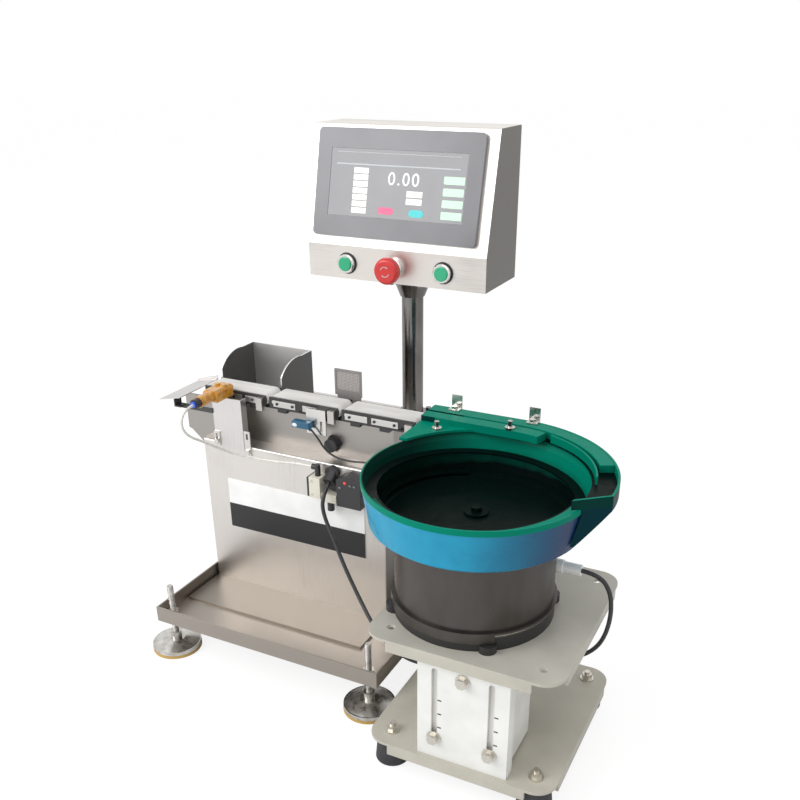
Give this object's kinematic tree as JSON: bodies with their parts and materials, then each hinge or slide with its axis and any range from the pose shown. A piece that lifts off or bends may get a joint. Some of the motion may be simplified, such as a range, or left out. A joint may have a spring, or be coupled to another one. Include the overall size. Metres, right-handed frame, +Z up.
{
  "type": "checkweigher",
  "caption": "Small belt checkweigher on a drip tray with a touch-panel box on a pole, fed by a vibratory bowl feeder on its own slotted stand",
  "frame": {"origin": "on the floor, under the centre of the front left levelling foot", "axes": "+X along the belts to the feeder, +Y to the rear, +Z up; the front faces -Y"},
  "size_m": [0.7541, 0.5814, 0.786],
  "materials": {
    "tray_steel": "brushed",
    "plated_steel": "satin",
    "ochre_pad": "matt",
    "stainless": "brushed",
    "sign_white": "smooth",
    "sign_black": "smooth",
    "light_sheet": "satin",
    "amber": "translucent gloss",
    "black_plastic": "smooth",
    "ring_blue": "gloss",
    "dark_sheet": "satin",
    "belt_grey": "smooth, matt",
    "aluminium_rail": "satin",
    "white_plastic": "smooth",
    "eye_blue": "satin",
    "reflector_face": "satin",
    "chrome_tube": "polished",
    "box_steel": "brushed",
    "panel_bezel": "satin",
    "screen": "gloss",
    "ring_silver": "satin",
    "button_green": "gloss",
    "stop_red": "satin",
    "ivory": "smooth",
    "cable_black": "smooth",
    "tube_white": "smooth",
    "stand_paint": "powder coat",
    "foot_rubber": "matt",
    "column_white": "powder coat",
    "bolt_zinc": "plated",
    "post_paint": "powder coat",
    "ring_black": "painted black",
    "drive_dark": "metallic satin",
    "bowl_blue": "gloss paint",
    "bowl_green": "polyurethane coat",
    "track_green": "polyurethane coat"
  },
  "bodies": {
    "frame": {"base_tray": "tray_steel", "levelling_feet": "plated_steel", "foot_pads": "ochre_pad", "base_plate": "tray_steel", "cabinet_body": "stainless", "rear_body": "stainless", "wall_plate": "stainless", "sign_plate": "sign_white", "sign_band": "sign_black", "end_pillar": "light_sheet", "pillar_brackets": "plated_steel", "air_manifold": "amber", "air_fitting": "black_plastic", "release_ring": "ring_blue", "discharge_slide": "light_sheet", "slide_bracket": "dark_sheet", "conveyor_belts": "belt_grey", "belt_rollers": "plated_steel", "belt_rails": "aluminium_rail", "end_blocks": "white_plastic", "belt_legs": "black_plastic", "reject_bin": "light_sheet", "photo_eye": "eye_blue", "photo_eye_bracket": "plated_steel", "reflector": "reflector_face", "pole": "chrome_tube", "control_box": "box_steel", "touch_panel": "panel_bezel", "panel_screen": "screen", "button_rings": "ring_silver", "cable_glands": "black_plastic", "solenoid_valve": "ivory", "valve_fittings": "black_plastic", "sensor_amplifier": "black_plastic", "sensor_cable": "cable_black", "air_tube": "tube_white", "drive_cable_lower": "cable_black", "lower_plate": "stand_paint", "rubber_feet": "foot_rubber", "column_channel": "column_white", "stand_bolts": "bolt_zinc"},
    "feeder_head": {"column_post": "post_paint", "column_bolts": "bolt_zinc", "upper_plate": "stand_paint", "base_ring": "ring_black", "drive_housing": "drive_dark", "drive_gland": "white_plastic", "bowl_shell": "bowl_blue", "bowl_lining": "bowl_green", "exit_track": "track_green", "track_brackets": "plated_steel", "drive_cable_upper": "cable_black"},
    "start_cap": {"start_button": "button_green"},
    "reset_cap": {"reset_button": "button_green"},
    "stop_head": {"emergency_stop": "stop_red"}
  },
  "joints": [
    {"name": "stand_height", "type": "slide", "parent": "frame", "child": "feeder_head", "axis": [0, 0, 1], "range_m": [0, 0.06]},
    {"name": "start_press", "type": "slide", "parent": "frame", "child": "start_cap", "axis": [0, 1, 0], "range_m": [0, 0.004], "stiffness_N_per_m": 1500, "springref_m": -0.001},
    {"name": "reset_press", "type": "slide", "parent": "frame", "child": "reset_cap", "axis": [0, 1, 0], "range_m": [0, 0.004], "stiffness_N_per_m": 1500, "springref_m": -0.001},
    {"name": "emergency_stop_press", "type": "slide", "parent": "frame", "child": "stop_head", "axis": [0, 1, 0], "range_m": [0, 0.006]}
  ]
}
